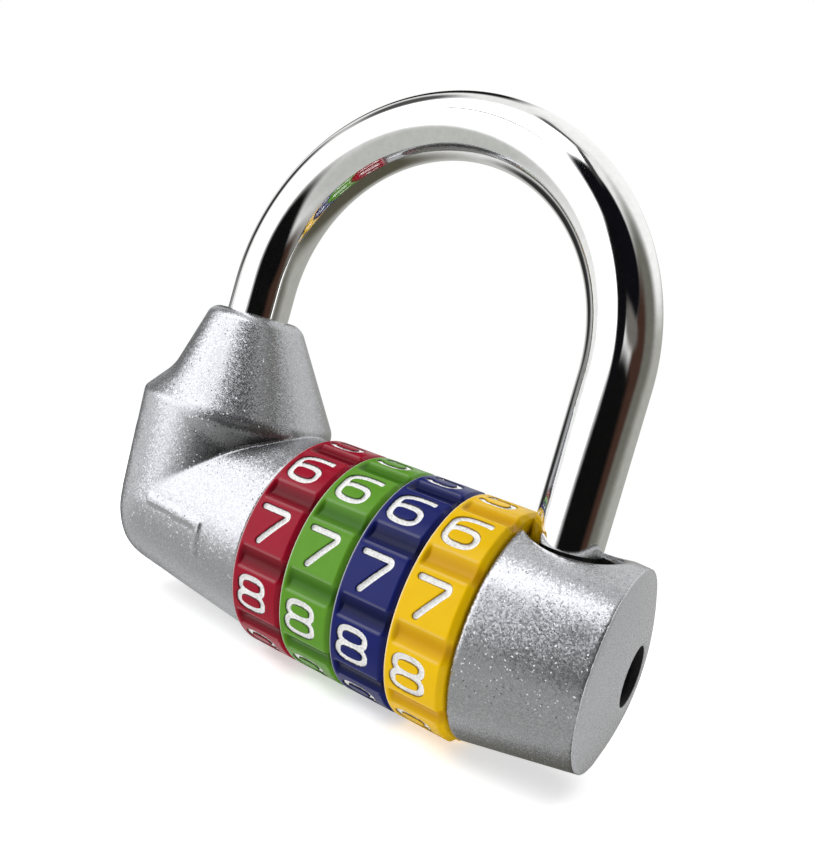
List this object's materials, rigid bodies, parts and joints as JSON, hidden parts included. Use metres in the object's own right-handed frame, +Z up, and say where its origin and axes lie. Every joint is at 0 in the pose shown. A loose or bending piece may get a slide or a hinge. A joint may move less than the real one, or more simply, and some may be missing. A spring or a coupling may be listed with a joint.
{
  "type": "combination padlock",
  "caption": "Barrel-shaped travel padlock with coloured number dials between two metal end castings, a wide arched shackle across the barrel and a reset button in one end.",
  "frame": {"origin": "under the middle of the lock, at the height of the dials' lowest point", "axes": "+X along the barrel from the shackle's long leg to its free leg, -Y the side the numbers are read from, +Z up from the barrel to the top of the shackle"},
  "size_m": [0.0706, 0.026, 0.0702],
  "materials": {
    "satin_silver": "satin metallic paint",
    "red_enamel": "gloss",
    "green_enamel": "gloss",
    "blue_enamel": "gloss",
    "yellow_enamel": "gloss",
    "chromed_steel": "polished",
    "plain_steel": "machined",
    "spring_steel": "drawn",
    "hub_brass": "machined",
    "button_black": "moulded"
  },
  "bodies": {
    "case": {"case_left": "satin_silver", "case_right": "satin_silver", "end_cap": "satin_silver", "core_tube": "plain_steel", "detent_spring": "spring_steel", "spindle_spring": "spring_steel", "reset_spring": "spring_steel", "retaining_pin": "plain_steel", "tube_pin_left": "plain_steel", "tube_pin_right": "plain_steel"},
    "shackle": {"shackle": "chromed_steel"},
    "spindle": {"spindle": "plain_steel"},
    "reset_button": {"reset_plunger": "button_black"},
    "dial_red": {"dial_red": "red_enamel"},
    "hub_red": {"hub_red": "hub_brass"},
    "dial_green": {"dial_green": "green_enamel"},
    "hub_green": {"hub_green": "hub_brass"},
    "dial_blue": {"dial_blue": "blue_enamel"},
    "hub_blue": {"hub_blue": "hub_brass"},
    "dial_yellow": {"dial_yellow": "yellow_enamel"},
    "hub_yellow": {"hub_yellow": "hub_brass"}
  },
  "joints": [
    {"name": "shackle_lift", "type": "slide", "parent": "case", "child": "shackle", "axis": [0, 0, 1], "range_m": [0, 0.008]},
    {"name": "spindle_slide", "type": "slide", "parent": "case", "child": "spindle", "axis": [1, 0, 0], "range_m": [0, 0.0026], "deforming": ["spindle_spring"]},
    {"name": "reset_push", "type": "slide", "parent": "case", "child": "reset_button", "axis": [-1, 0, 0], "range_m": [0, 0.0015], "stiffness_N_per_m": 400, "springref_m": -0.002},
    {"name": "dial_red_turn", "type": "hinge", "parent": "case", "child": "dial_red", "pos_m": [0, 0, 0.013], "axis": [1, 0, 0], "continuous": true},
    {"name": "dial_green_turn", "type": "hinge", "parent": "case", "child": "dial_green", "pos_m": [0, 0, 0.013], "axis": [1, 0, 0], "continuous": true},
    {"name": "dial_blue_turn", "type": "hinge", "parent": "case", "child": "dial_blue", "pos_m": [0, 0, 0.013], "axis": [1, 0, 0], "continuous": true},
    {"name": "dial_yellow_turn", "type": "hinge", "parent": "case", "child": "dial_yellow", "pos_m": [0, 0, 0.013], "axis": [1, 0, 0], "continuous": true},
    {"name": "hub_red_shift", "type": "slide", "parent": "dial_red", "child": "hub_red", "axis": [-1, 0, 0], "range_m": [0, 0.0015], "deforming": ["reset_spring"]},
    {"name": "hub_green_shift", "type": "slide", "parent": "dial_green", "child": "hub_green", "axis": [-1, 0, 0], "range_m": [0, 0.0015]},
    {"name": "hub_blue_shift", "type": "slide", "parent": "dial_blue", "child": "hub_blue", "axis": [-1, 0, 0], "range_m": [0, 0.0015]},
    {"name": "hub_yellow_shift", "type": "slide", "parent": "dial_yellow", "child": "hub_yellow", "axis": [-1, 0, 0], "range_m": [0, 0.0015]}
  ],
  "couplings": [
    {"joint": "spindle_slide", "follows": "shackle_lift", "ratio": 0.325},
    {"joint": "hub_red_shift", "follows": "reset_push", "ratio": 1},
    {"joint": "hub_green_shift", "follows": "reset_push", "ratio": 1},
    {"joint": "hub_blue_shift", "follows": "reset_push", "ratio": 1},
    {"joint": "hub_yellow_shift", "follows": "reset_push", "ratio": 1}
  ]
}
